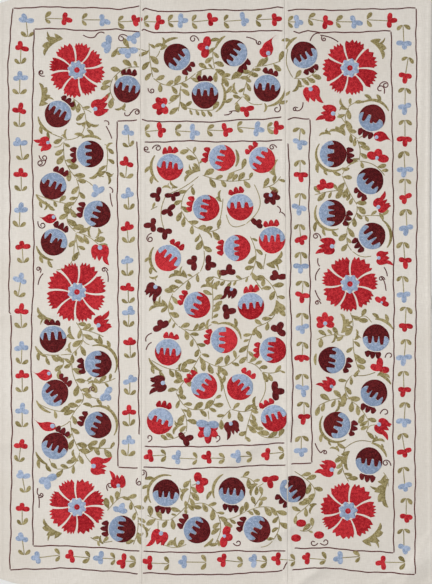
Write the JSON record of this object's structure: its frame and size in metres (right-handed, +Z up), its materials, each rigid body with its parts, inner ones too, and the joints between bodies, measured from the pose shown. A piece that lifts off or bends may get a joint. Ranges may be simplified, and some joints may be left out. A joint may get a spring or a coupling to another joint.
{
  "type": "suzani embroidered cotton cover",
  "caption": "Large rectangular cotton cover of joined loom-width panels, laid flat, face up, embroidered with rosettes, pomegranates, leafy vines and sprig borders; spreads on a bed or hangs.",
  "frame": {"origin": "middle of the cloth's outline, on the surface that it lies on", "axes": "+X across the panels to the right of the design, +Y along the panels to the top of the design, +Z up off the surface, the embroidered face upwards"},
  "size_m": [1.522, 2.056, 0.0074],
  "materials": {
    "ground_cotton": "matte",
    "red_thread": "satin",
    "dark_red_thread": "satin",
    "blue_thread": "satin",
    "olive_thread": "satin",
    "brown_thread": "satin"
  },
  "bodies": {
    "root": {"panel_left": "ground_cotton", "panel_middle": "ground_cotton", "panel_right": "ground_cotton"}
  },
  "joints": []
}
